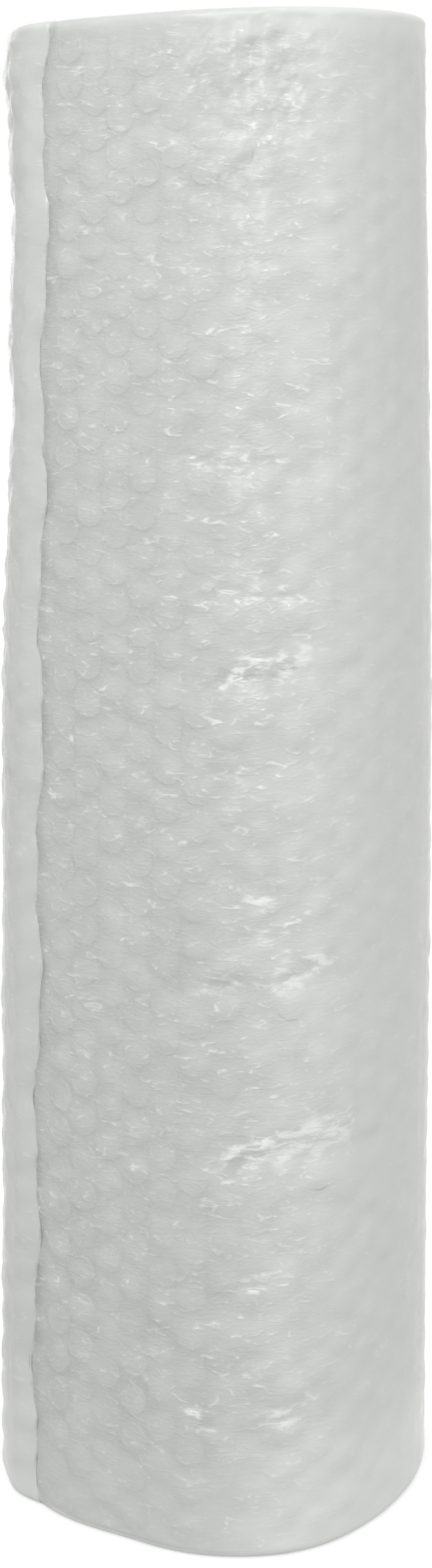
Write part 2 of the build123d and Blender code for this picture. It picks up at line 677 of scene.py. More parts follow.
@dataclass(frozen=True)
class ClearFilm:
    """The outermost turn's flat film: clear, milky in places, glossy, with painted glints and
    shade.

    Places along the sheet are counted from the start of the outermost turn, under the free edge.
    Each entry of milk and calm gives where the haze or the crinkles start and stop to change, and
    by how much; the first entry of milk paints the right side lighter and plainer with haze.
    base_calm gives the heights between which the base's calm fades, how calm the base is, and how
    much haze it adds, which paints the base lighter. selvage gives the heights between which the
    film turns plain.
    edge_shade gives where the painted shade beside the free edge fades, and how strong it is
    before.
    """

    name: str = "clear_film"
    colour: Triple = (0.735, 0.75, 0.73)
    # The second colour is that of the painted highlights, the third that of the painted shade.
    highlight_tone: Triple = (0.89, 0.905, 0.89)
    shade: Triple = (0.56, 0.565, 0.53)
    haze: float = 0.52
    most_haze: float = 0.96
    patch_scale: Triple = (60.0, 75.0, 1.0)
    patchiness: float = 0.07
    milk: tuple = ((0.055, 0.11, 0.30), (0.215, 0.28, -0.32), (0.40, 0.435, 0.18))
    calm: tuple = ((0.085, 0.13, -0.8), (0.215, 0.26, 0.8), (0.41, 0.435, -0.7))
    base_calm: tuple = (0.004, 0.055, 0.6, 0.16)
    selvage: Pair = (0.487, 0.495)
    selvage_haze: float = 0.1
    strand_scale: Triple = (150.0, 400.0, 1.0)
    strand_turns: Pair = (20.0, -16.0)
    strand_bend: float = 1.1
    strand_drop: float = 0.05
    # Painted highlight: light strokes where the crinkled film would glint.
    glint_haze: float = 0.24
    glint_range: Pair = (0.54, 0.80)
    # Painted highlight: glare along the folds and crumple ridges.
    glare_haze: float = 0.5
    glare_range: Pair = (0.36, 0.66)
    glare_least: float = 0.15
    # Painted shade: dark strokes in the crinkles, darkest in the lip's shadow by the free edge.
    edge_shade: Triple = (0.004, 0.035, 0.45)
    shade_range: Pair = (0.36, 0.46)
    shade_haze: float = 0.3
    shade_strokes: float = 0.3
    roughness: float = 0.19
    gloss_range: Pair = (0.4, 0.7)
    gloss_shares: Pair = (1.4, 0.6)
    ior: float = 1.5
    crinkle: float = 0.75
    crinkle_depth: float = 0.0005
    fine_scale: Triple = (520.0, 900.0, 1.0)
    fine_turn: float = -8.0
    fine_share: float = 0.3

    def changed(self, n: FinishNodes, value: object, along: Socket, changes: tuple) -> Socket:
        """A value that changes along the sheet.

        Args:
            n: the material's nodes.
            value: what it is at first.
            along: the place along the sheet.
            changes: where each change starts and stops, and by how much.

        Returns:
            The changed value.
        """
        for start, stop, change in changes:
            value = n.math("ADD", value, n.span(along, (start, stop), (0.0, change)))
        return value

    def material(self) -> bpy.types.Material:
        """Builds the finish.

        Returns:
            The material.
        """
        n = FinishNodes(self.name)
        sheet = n.add("ShaderNodeUVMap", uv_map=SHEET_MAP).outputs["UV"]
        place = n.add("ShaderNodeSeparateXYZ", Vector=sheet).outputs
        along, up = place["X"], place["Y"]
        # The painted glare of the folds and crumples, point by point.
        glare = n.add("ShaderNodeAttribute", attribute_name=GLARE_VALUE).outputs["Fac"]
        rising, falling = (
            n.noise(n.scaled(sheet, self.strand_scale, turn), bend=self.strand_bend)
            for turn in self.strand_turns
        )
        strands = n.math("SUBTRACT", n.math("MAXIMUM", rising, falling), self.strand_drop)

        *base, calm, milk = self.base_calm
        plain = n.span(up, self.selvage)
        crinkles = self.changed(n, 1.0, along, self.calm)
        crinkles = n.math("MULTIPLY", crinkles, n.math("SUBTRACT", 1.0, plain))
        crinkles = n.math("MULTIPLY", crinkles, n.span(up, base, (1.0 - calm, 1.0)))

        # Painted highlight: light strokes on the crinkled film, where it would glint.
        glint_strokes = n.math("MULTIPLY", n.span(strands, self.glint_range), crinkles)
        glare_strands = n.span(strands, self.glare_range, (self.glare_least, 1.0))
        # Painted highlight: broken glare along the folds and crumple ridges.
        white = n.math("MULTIPLY", glare, glare_strands)
        # Painted shade: dark strokes in the crinkles, strongest beside the free edge.
        *side, share = self.edge_shade
        dark = n.math("MULTIPLY_ADD", crinkles, self.shade_strokes, n.span(along, side, (share, 0.0)))
        painted_shade = n.math("MULTIPLY", dark, n.span(strands, self.shade_range, (1.0, 0.0)))

        patches = n.noise(n.scaled(sheet, self.patch_scale), detail=1.0)
        patches = n.span(patches, NOISE_BODY, (-self.patchiness, self.patchiness))
        haze = n.math("MULTIPLY_ADD", plain, self.selvage_haze, self.haze)
        haze = n.math("ADD", n.math("MULTIPLY", patches, crinkles), haze)
        # Painted light: the base's added haze and the first milk entry make the base and the right
        # side lighter.
        haze = n.math("ADD", haze, n.span(up, base, (milk, 0.0)))
        haze = self.changed(n, haze, along, self.milk)
        masks = (glint_strokes, self.glint_haze), (white, self.glare_haze), (painted_shade, self.shade_haze)
        for mask, amount in masks:
            haze = n.math("ADD", haze, n.math("MULTIPLY", mask, amount))

        # The film's colour, lifted where highlights are painted.
        tone = n.mix(n.math("MAXIMUM", glint_strokes, white), self.colour, self.highlight_tone)
        gloss = tuple(self.roughness * share for share in self.gloss_shares)
        fine = n.noise(n.scaled(sheet, self.fine_scale, self.fine_turn), detail=1.0)
        return n.bumped(
            n.math("ADD", n.math("MULTIPLY", fine, self.fine_share), strands),
            n.math("MULTIPLY", crinkles, self.crinkle),
            self.crinkle_depth,
            Base_Color=n.mix(painted_shade, tone, self.shade),
            Roughness=n.span(strands, self.gloss_range, gloss),
            IOR=self.ior,
            Alpha=n.math("MINIMUM", haze, self.most_haze),
        )


@dataclass(frozen=True)
class BubbleFilm:
    """The formed film of the bubbles, milky with the film of the turns behind it, and shiny."""

    name: str = "bubble_film"
    colour: Triple = (0.705, 0.72, 0.70)
    tones: Pair = (0.94, 1.06)
    cloud_scale: float = 70.0
    fine_scale: float = 380.0
    bump: float = 0.35
    bump_depth: float = 0.0006
    roughness: float = 0.2
    ior: float = 1.5

    def material(self) -> bpy.types.Material:
        """Builds the finish.

        Returns:
            The material.
        """
        n = FinishNodes(self.name)
        place = n.add("ShaderNodeTexCoord").outputs["Object"]
        cloud = n.span(n.noise(place, self.cloud_scale), NOISE_BODY)
        low, high = (tuple(min(1.0, part * tone) for part in self.colour) for tone in self.tones)
        return n.bumped(
            n.noise(place, self.fine_scale),
            self.bump,
            self.bump_depth,
            Base_Color=n.mix(cloud, low, high),
            Roughness=self.roughness,
            IOR=self.ior,
        )


@dataclass(frozen=True)
class MilkyTurns:
    """The wound turns seen through the outer ones: a milky, faintly green grey."""

    name: str = "milky_turns"
    dark: Triple = (0.65, 0.665, 0.645)
    light: Triple = (0.75, 0.76, 0.745)
    cell_scale: float = 92.0
    cell_rims: Pair = (0.15, 0.62)
    cloud_scale: float = 38.0
    shares: Pair = (0.35, 0.65)
    tone_range: Pair = (0.25, 0.75)
    fine_scale: Triple = (70.0, 70.0, 260.0)
    detail: float = 3.0
    bump: float = 0.4
    bump_depth: float = 0.0008
    roughness: float = 0.4
    ior: float = 1.45

    def material(self) -> bpy.types.Material:
        """Builds the finish.

        Returns:
            The material.
        """
        n = FinishNodes(self.name)
        place = n.add("ShaderNodeTexCoord").outputs["Object"]
        cells = n.add(
            "ShaderNodeTexVoronoi", feature="SMOOTH_F1", Vector=place, Scale=self.cell_scale
        )
        rims = n.span(cells.outputs["Distance"], self.cell_rims)
        cloud = n.noise(place, self.cloud_scale, self.detail)
        fine = n.noise(n.scaled(place, self.fine_scale), detail=self.detail)
        parts = (n.math("MULTIPLY", *pair) for pair in zip((rims, cloud), self.shares))
        tone = n.span(n.math("ADD", *parts), self.tone_range)
        return n.bumped(
            n.math("ADD", rims, fine),
            self.bump,
            self.bump_depth,
            Base_Color=n.mix(tone, self.dark, self.light),
            Roughness=self.roughness,
            IOR=self.ior,
        )


@dataclass(frozen=True)
class Finishes:
    """Every finish of the roll, built once."""

    clear: bpy.types.Material
    bubble: bpy.types.Material
    milky: bpy.types.Material

    @classmethod
    def build(cls) -> "Finishes":
        """Builds all the finishes."""
        return cls(ClearFilm().material(), BubbleFilm().material(), MilkyTurns().material())


# The film's relief


@dataclass(frozen=True)
class Fold:
    """One short fold in the outer film: its place, run and sharpness, and its painted highlight."""

    angle: float
    height: float
    span: float
    climb: float
    bow: float
    depth: float
    width: float
    # The strength of the painted highlight above the fold.
    white: float
    fullness: float = 1.35
    lean: float = 0.8
    glare_lift: float = 0.4
    glare_width: float = 1.8

    def run(
        self, angle: np.ndarray, height: np.ndarray, lift: float = 0.0
    ) -> tuple[np.ndarray, np.ndarray]:
        """How these places lie to the fold's line.

        Args:
            angle: plan angles.
            height: heights.
            lift: how far above the fold the line is taken.

        Returns:
            The fold's strength there, which fades to its ends, and the heights above its line.
        """
        along = angle_between(angle, self.angle) / self.span
        middle = self.height + self.climb * along + self.bow * along**2 + lift
        return np.clip(self.fullness * (1.0 - along**2), 0.0, 1.0), height - middle

    def depth_at(self, angle: np.ndarray, height: np.ndarray) -> np.ndarray:
        """How deep the fold is at these angles and heights.

        Args:
            angle: plan angles.
            height: heights.

        Returns:
            The depths.
        """
        window, above = self.run(angle, height)
        across = above / self.width
        return self.depth * window * np.exp(-(across**2)) * (1.0 - self.lean * across)

    def glare_at(self, angle: np.ndarray, height: np.ndarray) -> np.ndarray:
        """How strong the painted highlight is just above the fold."""
        window, above = self.run(angle, height, self.glare_lift * self.width)
        return self.white * window * np.exp(-((above / (self.glare_width * self.width)) ** 2))


# The last number of each fold is the strength of its painted highlight.
FOLDS = (
    Fold(-86.0, 0.352, 17.0, 0.0000, -0.0015, 0.0005, 0.0026, 0.45),
    Fold(-82.0, 0.309, 16.0, -0.0010, -0.0020, 0.0005, 0.0024, 0.55),
    Fold(-79.0, 0.284, 16.0, 0.0050, -0.0025, 0.0006, 0.0030, 0.90),
    Fold(-88.0, 0.252, 8.0, 0.0000, -0.0010, 0.0004, 0.0022, 0.45),
    Fold(-79.0, 0.212, 7.0, 0.0030, -0.0010, 0.0005, 0.0026, 0.70),
    Fold(-77.0, 0.200, 7.0, 0.0000, -0.0010, 0.0004, 0.0022, 0.50),
    Fold(-90.0, 0.184, 8.0, 0.0000, -0.0010, 0.0005, 0.0024, 0.55),
    Fold(-69.0, 0.187, 8.0, 0.0040, -0.0010, 0.0006, 0.0026, 0.80),
    Fold(-72.0, 0.131, 21.0, 0.0050, -0.0030, 0.0007, 0.0032, 1.00),
    Fold(-80.0, 0.087, 5.0, 0.0000, -0.0010, 0.0004, 0.0018, 0.60),
    Fold(-94.0, 0.044, 5.0, -0.0010, -0.0010, 0.0004, 0.0018, 0.90),
    Fold(-75.0, 0.044, 6.0, 0.0000, -0.0010, 0.0004, 0.0018, 0.80),
)


@dataclass(frozen=True)
class Crumple:
    """A patch of the outer film with sharp little facets, and painted highlight on their ridges."""

    angle: float
    spread: float
    height: float
    reach: float
    depth: float
    # The strength of the painted highlight on the facets' ridges.
    white: float


CRUMPLES = (
    Crumple(-84.0, 40.0, 0.482, 0.026, 0.0005, 0.8),
    Crumple(-76.0, 22.0, 0.468, 0.034, 0.0005, 0.8),
    Crumple(-86.0, 22.0, 0.440, 0.040, 0.0004, 0.6),
)


@dataclass
class FilmRelief:
    """The outer film's relief on a grid of the turn: bulges, waves, folds and crumples, and the
    painted glare of the folds and crumples.

    Each wave gives the usual length of a feature round the roll and up it, and how far the lengths
    vary. taut gives the plan angle and the spread of the film's taut side, and how taut it is.
    broken gives the middle, the swing and the most of how unevenly a fold's painted glare breaks
    up.
    """

    form: RollForm
    lattice: Lattice
    columns: int = 256
    rows: int = 272
    rim_rows: tuple = (0.0, 0.0003, 0.0008, 0.0015, 0.0023, 0.0032)
    bulge: float = 0.0005
    bulge_spread: float = 0.00018
    bulge_lean: float = 0.35
    bulge_reach: float = 1.08
    bulge_table: tuple[int, int] = (80, 60)
    wander: float = 0.00012
    wander_wave: Triple = (0.035, 0.020, 0.6)
    streak: float = 0.00007
    streak_wave: Triple = (0.016, 0.0055, 0.5)
    bridge: float = 0.35
    taut: Triple = (-22.0, 70.0, 0.6)
    flat_edge: float = 0.008
    flattest: float = 0.2
    broken: Triple = (0.6, 0.6, 1.6)
    broken_wave: Triple = (0.012, 0.0045, 0.5)
    wrinkle: float = 0.00022
    wrinkle_wave: Triple = (0.014, 0.0042, 0.4)
    facet_wave: Triple = (0.010, 0.009, 0.5)
    small_facet_wave: Triple = (0.005, 0.005, 0.4)
    small_facets: float = 0.5
    ridge: float = 0.8
    ridge_gain: float = 1.25
    seed: int = 41
    folds: tuple = FOLDS
    crumples: tuple = CRUMPLES
    rng: np.random.Generator = field(init=False)
    part: np.ndarray = field(init=False)
    share: np.ndarray = field(init=False)
    angle: np.ndarray = field(init=False)
    raised: np.ndarray = field(init=False)
    glare: np.ndarray = field(init=False)

    def __post_init__(self) -> None:
        """Works out the relief, and the painted glare of each place from its folds and crumples."""
        self.rng = np.random.default_rng(self.seed)
        self.part = np.linspace(0.0, 1.0, self.columns + 1)[:, None]
        self.share = self.levels()[None, :]
        self.angle, _ = self.form.outside(self.part, self.share)
        self.raised = self.waves()
        self.glare = np.zeros(self.raised.shape)
        self.press_folds()
        self.press_crumples()

    def noise(self, wave: Triple) -> np.ndarray:
        """Smooth noise on the turn's grid.

        Args:
            wave: the usual length of a feature, round and up, and how far the lengths vary.

        Returns:
            The noise.
        """
        form, shape = self.form, (self.columns + 1, self.share.shape[1])
        spacing = (form.girth / self.columns, form.width / shape[1])
        return band_noise(self.rng, shape, spacing, wave)

    def waves(self) -> np.ndarray:
        """The relief without its folds: bulges and slow waves, flatter where the film is taut.

        Returns:
            How far the film stands out.
        """
        form, part = self.form, self.part
        made = self.bulges(part * form.girth, self.share * form.width)
        made = made + self.wander * self.noise(self.wander_wave)
        made = made + self.streak * self.noise(self.streak_wave)
        at, reach, tautness = self.taut
        slack = 1.0 - tautness * bell(angle_between(self.angle, at), reach)
        loose = np.minimum(part, 1.0 - part) * form.girth / self.flat_edge
        made = made * slack * np.clip(loose, self.flattest, 1.0) - self.bulge
        return made + self.bridge * form.crease_depth(self.angle, self.share)

    def press_folds(self) -> None:
        """Presses the folds in, each with wrinkles and a broken painted highlight above it."""
        middle, swing, most = self.broken
        broken = np.clip(middle + swing * self.noise(self.broken_wave), 0.0, most)
        wrinkles = self.noise(self.wrinkle_wave)
        up = self.share * self.form.width
        for fold in self.folds:
            white = fold.glare_at(self.angle, up)
            self.raised = self.raised - fold.depth_at(self.angle, up)
            self.raised = self.raised + self.wrinkle * white * wrinkles
            self.glare = np.maximum(self.glare, white * broken)

    def press_crumples(self) -> None:
        """Presses the crumples in, with painted highlight along the ridges between their facets."""
        facets = np.abs(self.noise(self.facet_wave))
        facets = facets + self.small_facets * np.abs(self.noise(self.small_facet_wave))
        ridges = np.clip(self.ridge - facets, 0.0, 1.0) * self.ridge_gain
        up = self.share * self.form.width
        for patch in self.crumples:
            mask = bell(angle_between(self.angle, patch.angle), patch.spread)
            mask = mask * bell(up - patch.height, patch.reach)
            self.raised = self.raised - patch.depth * mask * facets
            self.glare = np.maximum(self.glare, patch.white * mask * ridges)

    def levels(self) -> np.ndarray:
        """The levels at which the film is drawn, closer at the rims.

        Returns:
            Their shares of the height.
        """
        rims = np.array(self.rim_rows) / self.form.width
        inner = np.linspace(rims[-1], 1.0 - rims[-1], self.rows - 2 * (len(rims) - 1))
        return np.concatenate([rims[:-1], inner, 1.0 - rims[:-1][::-1]])

    def bulges(self, along: np.ndarray, up: np.ndarray) -> np.ndarray:
        """How far the film bulges over each bubble, more over some than others.

        Args:
            along: places along the sheet.
            up: heights.

        Returns:
            The bulges' heights.
        """
        grid, reach, (most_columns, most_rows) = self.lattice, self.bulge_reach, self.bulge_table
        amount = self.rng.normal(self.bulge, self.bulge_spread, self.bulge_table)
        lean = self.rng.normal(0.0, self.bulge_lean, (*self.bulge_table, 2))
        column = np.round(along / grid.along).astype(int)
        best = np.zeros(np.broadcast(along, up).shape)
        for step in (-1, 0, 1):
            which = column + step
            offset = np.where(which % 2 == 1, 0.5 * grid.up, 0.0)
            row = np.round((up - grid.selvage - offset) / grid.up).astype(int)
            across = (along - which * grid.along) / (grid.radius * reach)
            rise = (up - grid.selvage - offset - row * grid.up) / (grid.radius * reach)
            inside = np.maximum(0.0, 1.0 - across**2 - rise**2)
            where = (which % most_columns, np.clip(row, 0, most_rows - 1))
            tilt = 1.0 + lean[where][..., 0] * across + lean[where][..., 1] * rise
            best = np.maximum(best, amount[where] * inside * np.maximum(tilt, 0.0))
        return best

    def sample(self, part: np.ndarray, share: np.ndarray) -> np.ndarray:
        """The relief at any places of the turn.

        Args:
            part: how far along the turn.
            share: heights as shares of the sheet's width.

        Returns:
            How far the film stands out there.
        """
        column = np.clip(np.round(part * self.columns).astype(int), 0, self.columns)
        row = np.clip(np.searchsorted(self.share[0], share), 0, self.share.shape[1] - 1)
        return self.raised[column, row]


# The pieces


@dataclass
class OuterTurn:
    """The outermost turn: its flat film outside, and the sealed ground between bubbles inside it.

    The film thins to a flange towards its free edge, droops on to the turn under it and runs
    unevenly, and at its other end it runs on under the free edge, as far as under says, in turns.
    Each of its sways gives how far the edge strays, the length of the wave and where it starts.
    """

    form: RollForm
    relief: FilmRelief
    ground: float = 0.0014
    flange: float = 0.0002
    flange_run: float = 0.009
    droop: float = 0.00376
    droop_run: float = 0.013
    under: tuple = (-0.0064, -0.0032)
    sway_run: float = 0.028
    sways: tuple = ((0.0018, 0.083, 1.0), (0.0010, 0.031, 2.3), (0.0005, 0.0127, 0.4))
    corner: float = 0.003
    corner_curve: float = 0.97
    rim_fade: float = 0.004
    row_gap: float = 0.0058
    crease_room: float = 1.2

    def build(self) -> bpy.types.Object:
        """Builds the closed turn.

        Returns:
            The piece, with the film in slot 0 and the ground in slot 1.
        """
        form, share = self.form, self.relief.share
        part = np.vstack([np.array(self.under)[:, None], self.relief.part])
        raised, glares = (
            np.vstack([values[:1]] * len(self.under) + [values])
            for values in (self.relief.raised, self.relief.glare)
        )
        angle, radius = form.outside(self.swayed(part, share), share)
        height = share * form.width
        edge = np.minimum(height, (1.0 - share) * form.width)
        near = np.maximum(0.0, 1.0 - edge / self.corner)
        rim = self.corner * (1.0 - np.sqrt(1.0 - self.corner_curve * near**2))
        fade = np.clip(edge / self.rim_fade, 0.0, 1.0)
        outer = form.place(angle, radius + raised * fade - rim - self.drop(part), height)
        grid = np.concatenate([outer, self.inside(part)], axis=1)
        up = grid[..., 2]
        sheet = np.stack(np.broadcast_arrays(part * form.girth, up), axis=-1)
        made = swept_shell("outer_turn", grid, outer.shape[1], sheet, 1)
        # The outer face carries the painted glare, the inside none.
        glare = np.zeros(up.shape)
        glare[:, : outer.shape[1]] = glares
        set_each(made.data, GLARE_VALUE, "FLOAT", glare)
        return made

    def swayed(self, part: np.ndarray, share: np.ndarray) -> np.ndarray:
        """The parts of the turn, shifted near the free edge so that it doesn't run straight.

        Args:
            part: how far along the turn.
            share: heights as shares of the sheet's width.

        Returns:
            The shifted parts.
        """
        girth = self.form.girth
        near = np.clip(1.0 - girth * (1.0 - part) / self.sway_run, 0.0, 1.0)
        sway = sum(
            far * np.sin(2.0 * math.pi * share * self.form.width / wave + start)
            for far, wave, start in self.sways
        )
        return part + near**2 * sway / girth

    def drop(self, part: np.ndarray) -> np.ndarray:
        """How far the film droops on its way to the free edge."""
        near = np.clip(1.0 - self.form.girth * (1.0 - part) / self.droop_run, 0.0, 1.0)
        return self.droop * (1.0 - np.cos(0.5 * math.pi * near))

    def inside(self, part: np.ndarray) -> np.ndarray:
        """The turn's inside, from the top down: the ground that follows the film's creases.

        Args:
            part: how far along the turn.

        Returns:
            The points.
        """
        form, room = self.form, self.crease_room
        levels = list(np.linspace(0.0, 1.0, int(form.width / self.row_gap)))
        for at, _, above, below, *_ in form.creases:
            levels = [each for each in levels if not at - below * room < each < at + above * room]
            levels += [at - below, at - below / 2, at, at + above / 2, at + above]
        share = np.array(sorted(set(levels), reverse=True))[None, :]
        edge = np.minimum(share, 1.0 - share) * form.width
        near = np.clip(1.0 - form.girth * (1.0 - part) / self.flange_run, 0.0, 1.0)
        inward = self.ground + (self.flange - self.ground) * near
        inward = inward + self.corner * np.maximum(0.0, 1.0 - edge / self.corner)
        angle, radius = form.outside(self.swayed(part, share), share)
        folded = np.minimum(self.relief.sample(part, share), 0.0)
        radius = radius - inward + folded - self.drop(part)
        return form.place(angle, radius, share * form.width)


@dataclass
class WoundTurns:
    """Every turn under the outermost one, with the air between them, set back from both ends."""

    form: RollForm
    recess: float = 0.006
    steps: int = 60
    inner_film: float = 0.0005
    pull_turns: float = 5.0
    short_turns: float = 0.02
    share_digits: int = 6

    def pulled(self, turns: np.ndarray, share: np.ndarray) -> tuple[np.ndarray, np.ndarray]:
        """Where the sheet's outer face is, pulled in where the outside is.

        Args:
            turns: turns from the sheet's inner end.
            share: heights as shares of the sheet's width.

        Returns:
            The plan angles and the radii.
        """
        form = self.form
        angle, radius = form.outer_face(turns)
        depth = np.clip(1.0 - (form.turns - 1.0 - turns) / self.pull_turns, 0.0, 1.0)
        return angle, radius + np.minimum(form.rise(angle, share), 0.0) * depth

    def levels(self) -> np.ndarray:
        """The levels at which the turns are drawn, at every bend of the outside.

        Returns:
            Their shares of the height.
        """
        form, recess = self.form, self.recess / self.form.width
        made = [recess, 1.0 - recess, *(share for share, *_ in form.gathers[1:-1])]
        for share, _, above, below, *_ in form.creases:
            made += [share - below, share, share + above]
        return np.array(sorted({round(value, self.share_digits) for value in made}))

    def build(self) -> bpy.types.Object:
        """Builds the wound turns.

        Returns:
            The piece.
        """
        form, share = self.form, self.levels()[None, :]
        last = form.turns - 1.0 - self.short_turns
        turns = np.linspace(0.0, last, int(last * self.steps))[:, None]
        angle, radius = self.pulled(turns, share)
        inward = np.where(turns < 1.0, self.inner_film, form.thickness)
        height = share * form.width
        outer = form.place(angle, radius, height)
        inner = form.place(angle, radius - inward, height)[:, ::-1]
        return swept_shell("wound_turns", np.concatenate([outer, inner], axis=1), share.shape[1])


@dataclass
class TurnEdges:
    """The edges of all the turns at one end: a flat film and a scalloped one that winds with it."""

    form: RollForm
    lattice: Lattice
    wound: WoundTurns
    end: End
    film: float = 0.00028
    tall: float = 0.0075
    inset: float = 0.0004
    short_angle: float = 2.0
    steps: int = 72
    run_steps: int = 6000
    points_per_bubble: int = 6
    cut_depths: Pair = (0.55, 0.95)
    roundness: float = 0.55
    clearance: float = 2.2
    seed: int = 7

    def heights(self) -> np.ndarray:
        """How high the strips stand, in the sheet's own width.

        Returns:
            Their lower and their upper height.
        """
        if self.end is End.TOP:
            return np.array([self.form.width - self.tall, self.form.width - self.inset])
        return np.array([self.inset, self.tall])

    def last(self) -> float:
        """Where the strips end, just short of the outermost turn."""
        away = abs(self.form.free_edge_drift) + self.short_angle
        return self.form.turns - 1.0 - away / WHOLE_TURN

    def strip(self, name: str, turns: np.ndarray, inward: np.ndarray) -> bpy.types.Object:
        """A thin upright strip that winds with the sheet.

        Args:
            name: the piece's name, to which the end's name is added.
            turns: where it is drawn along the sheet.
            inward: how far inside the sheet's outer face it runs there.

        Returns:
            The piece.
        """
        heights = self.heights()[None, :]
        angle, radius = self.wound.pulled(turns[:, None], heights / self.form.width)
        radius = radius - inward[:, None]
        outer = self.form.place(angle, radius, heights)
        inner = self.form.place(angle, radius - self.film, heights)[:, ::-1]
        grid = np.concatenate([outer, inner], axis=1)
        return swept_shell(f"{name}_{self.end.name.lower()}", grid, 2)

    def flat_film(self) -> bpy.types.Object:
        """The edge of the flat film."""
        turns = np.linspace(0.0, self.last(), int(self.last() * self.steps))
        return self.strip("flat_edges", turns, np.zeros(len(turns)))

    def bubble_edge(self) -> bpy.types.Object:
        """The edge of the formed film, cut through a row of bubbles.

        Returns:
            The piece.
        """
        form, points = self.form, self.points_per_bubble
        rng = np.random.default_rng(self.seed + self.end.value)
        fine = np.linspace(0.0, self.last(), self.run_steps)
        _, radius = form.outer_face(fine)
        steps = np.diff(fine) * math.pi * (radius[1:] + radius[:-1])
        run = np.concatenate([[0.0], np.cumsum(steps)])
        bubbles = int(run[-1] / self.lattice.along)
        index = np.arange(bubbles * points + 1)
        turns = np.interp(np.linspace(0.0, run[-1], len(index)), run, fine)
        deep = rng.uniform(*self.cut_depths, bubbles + 1)[index // points]
        wave = np.sin(math.pi * (index % points / points)) ** self.roundness
        inward = self.film + (form.thickness - self.clearance * self.film) * deep * wave
        return self.strip("bubble_edges", turns, inward)


